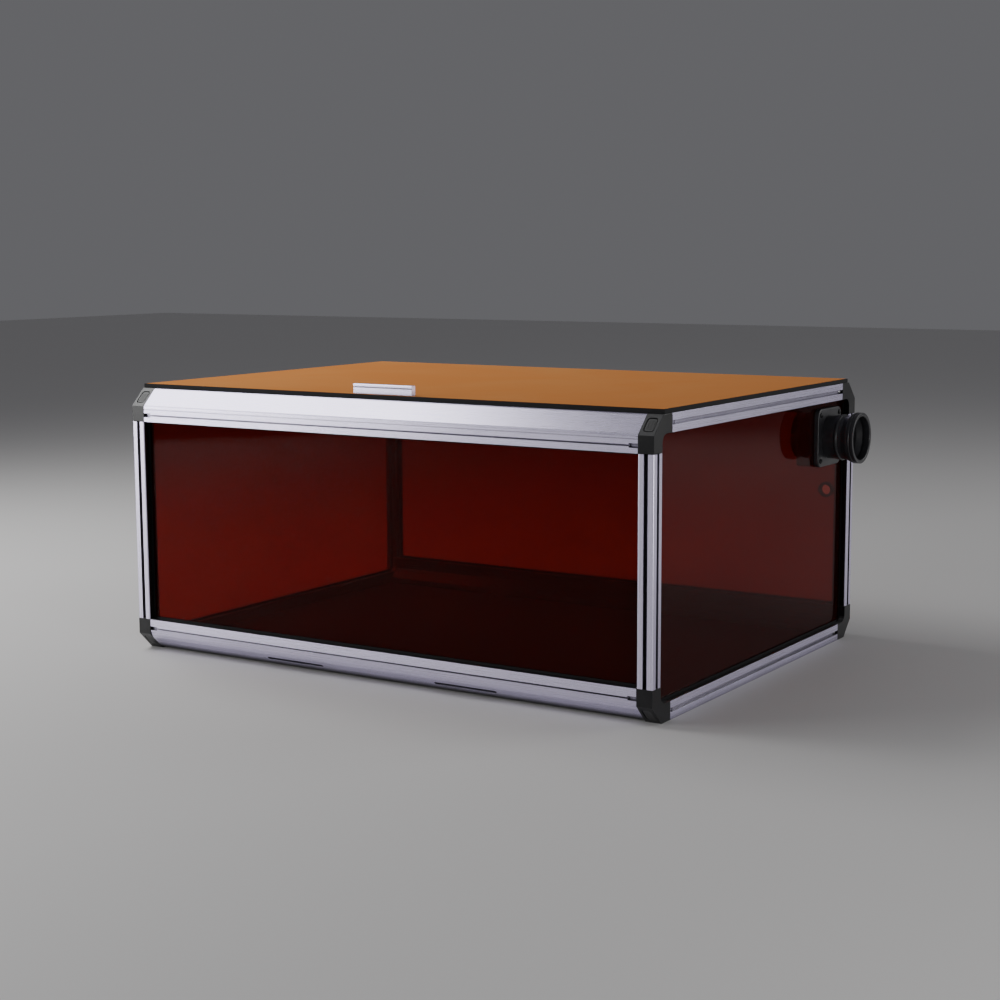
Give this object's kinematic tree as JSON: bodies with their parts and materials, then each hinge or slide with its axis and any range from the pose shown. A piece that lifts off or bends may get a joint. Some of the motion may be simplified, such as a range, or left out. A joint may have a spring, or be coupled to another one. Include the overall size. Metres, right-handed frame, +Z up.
{
  "type": "desktop laser cutter enclosure",
  "caption": "Desktop laser cutter housing: aluminium profile frame, dark red acrylic walls, hinged amber lid with a pull, exhaust fan with a hose collar on the right wall.",
  "frame": {"origin": "on the standing surface, under the middle of the whole object's box, the duct included", "axes": "+X to the object's right (the fan side), +Y to the back (the hinge side), +Z up; the handle is at the front, -Y"},
  "size_m": [0.8068, 0.574, 0.3625],
  "materials": {
    "aluminium_profile": "satin clear anodised extrusion",
    "corner_plastic": "fine-grained moulded black plastic",
    "cap_plastic": "matt dark grey moulded plastic",
    "wall_acrylic": "glossy dark red tinted acrylic, almost opaque",
    "lid_acrylic": "glossy amber tinted acrylic, see-through",
    "black_rubber": "matt black rubber",
    "floor_sheet": "dark smooth coated sheet",
    "fan_plastic": "matt black moulded plastic",
    "hardware_steel": "plain brushed steel"
  },
  "bodies": {
    "frame": {"cable_grommet": "black_rubber", "cap_bottom_front_left": "cap_plastic", "cap_bottom_front_right": "cap_plastic", "cap_bottom_rear_left": "cap_plastic", "cap_bottom_rear_right": "cap_plastic", "cap_top_front_left": "cap_plastic", "cap_top_front_right": "cap_plastic", "cap_top_rear_left": "cap_plastic", "cap_top_rear_right": "cap_plastic", "corner_bottom_front_left": "corner_plastic", "corner_bottom_front_right": "corner_plastic", "corner_bottom_rear_left": "corner_plastic", "corner_bottom_rear_right": "corner_plastic", "corner_top_front_left": "corner_plastic", "corner_top_front_right": "corner_plastic", "corner_top_rear_left": "corner_plastic", "corner_top_rear_right": "corner_plastic", "duct_adapter": "fan_plastic", "duct_collar": "fan_plastic", "fan_guard": "fan_plastic", "fan_housing": "fan_plastic", "fan_screw_1": "hardware_steel", "fan_screw_2": "hardware_steel", "fan_screw_3": "hardware_steel", "fan_screw_4": "hardware_steel", "floor_plate": "floor_sheet", "hinge_frame_leaf_left": "hardware_steel", "hinge_frame_leaf_right": "hardware_steel", "hinge_pin_left": "hardware_steel", "hinge_pin_right": "hardware_steel", "post_front_left": "aluminium_profile", "post_front_right": "aluminium_profile", "post_rear_left": "aluminium_profile", "post_rear_right": "aluminium_profile", "rail_bottom_front": "aluminium_profile", "rail_bottom_left": "aluminium_profile", "rail_bottom_rear": "aluminium_profile", "rail_bottom_right": "aluminium_profile", "rail_top_front": "aluminium_profile", "rail_top_left": "aluminium_profile", "rail_top_rear": "aluminium_profile", "rail_top_right": "aluminium_profile", "seal_front": "black_rubber", "seal_left": "black_rubber", "seal_rear": "black_rubber", "seal_right": "black_rubber", "wall_front": "wall_acrylic", "wall_left": "wall_acrylic", "wall_rear": "wall_acrylic", "wall_right": "wall_acrylic"},
    "lid": {"lid_panel": "lid_acrylic", "lid_seal": "black_rubber", "lid_handle": "aluminium_profile", "handle_screw_left": "hardware_steel", "handle_screw_right": "hardware_steel", "hinge_lid_leaf_left": "hardware_steel", "hinge_lid_leaf_right": "hardware_steel"},
    "rotor": {"fan_rotor": "fan_plastic"}
  },
  "joints": [
    {"name": "lid_hinge", "type": "hinge", "parent": "frame", "child": "lid", "pos_m": [0, 0.2686, 0.3462], "axis": [-1, 0, 0], "range_deg": [0, 100]},
    {"name": "fan_spin", "type": "hinge", "parent": "frame", "child": "rotor", "pos_m": [0.3351, 0.208, 0.278], "axis": [1, 0, 0], "continuous": true}
  ]
}
